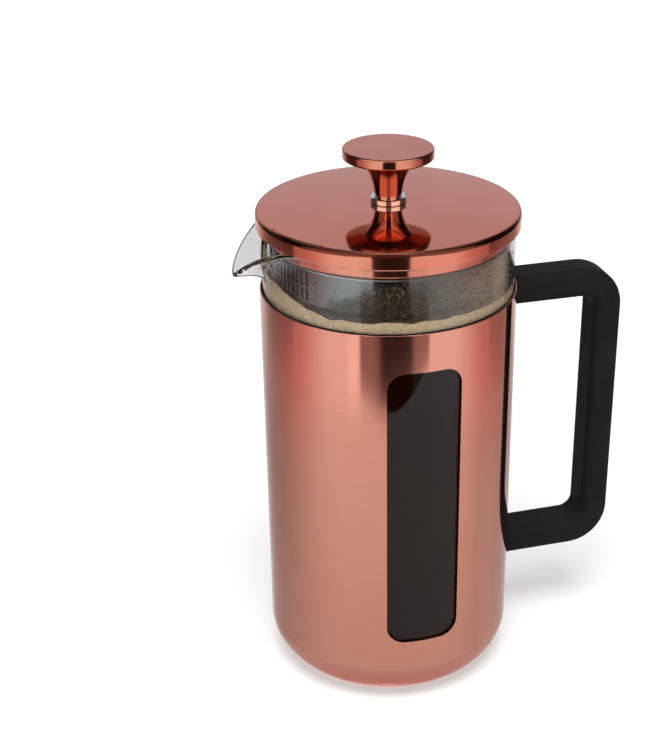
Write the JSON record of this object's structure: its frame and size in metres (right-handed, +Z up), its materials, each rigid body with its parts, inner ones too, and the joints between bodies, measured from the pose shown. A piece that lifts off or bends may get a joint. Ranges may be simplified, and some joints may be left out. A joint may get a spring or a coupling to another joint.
{
  "type": "french press",
  "caption": "Coffee press: a spouted glass beaker in a copper-finished steel sleeve with tall windows and a black D handle, under a crowned lid with a disc-knob plunger and mesh filter.",
  "frame": {"origin": "centre of the flat base, on the common axis of the sleeve, beaker, lid and plunger", "axes": "+Z up along the common axis, +X towards the handle, the spout towards -X, the two windows of the sleeve face -Y and +Y"},
  "size_m": [0.1645, 0.1056, 0.2292],
  "materials": {
    "copper_satin": "satin copper plate on stainless steel, finely brushed round the can",
    "copper_polished": "mirror polished copper plate on stainless steel",
    "polished_steel": "polished stainless steel",
    "plain_steel": "plain stainless steel",
    "soft_black": "soft-touch black plastic",
    "black_silicone": "matte black silicone",
    "clear_glass": "clear borosilicate glass with a fire-polished rim"
  },
  "bodies": {
    "holder": {"outer_sleeve": "copper_satin", "rim_seal": "black_silicone", "beaker_cushion": "black_silicone", "handle": "soft_black", "handle_bracket_upper": "plain_steel", "handle_bracket_lower": "plain_steel", "handle_screws": "plain_steel"},
    "beaker": {"glass_beaker": "clear_glass"},
    "lid": {"lid_cap": "copper_polished", "lid_plug": "copper_polished", "lid_strainer": "polished_steel", "lid_collar": "polished_steel", "lid_nut": "plain_steel"},
    "plunger": {"knob": "copper_polished", "plunger_rod": "polished_steel", "spring_plate": "plain_steel", "filter_spring": "polished_steel", "mesh_screen": "plain_steel", "cross_plate": "plain_steel", "filter_nut": "plain_steel"}
  },
  "joints": [
    {"name": "beaker_lift", "type": "slide", "parent": "holder", "child": "beaker", "axis": [0, 0, 1], "range_m": [0, 0.18]},
    {"name": "lid_lift", "type": "slide", "parent": "beaker", "child": "lid", "axis": [0, 0, 1], "range_m": [0, 0.2]},
    {"name": "plunger_slide", "type": "slide", "parent": "lid", "child": "plunger", "axis": [0, 0, 1], "range_m": [0, 0.15]}
  ]
}
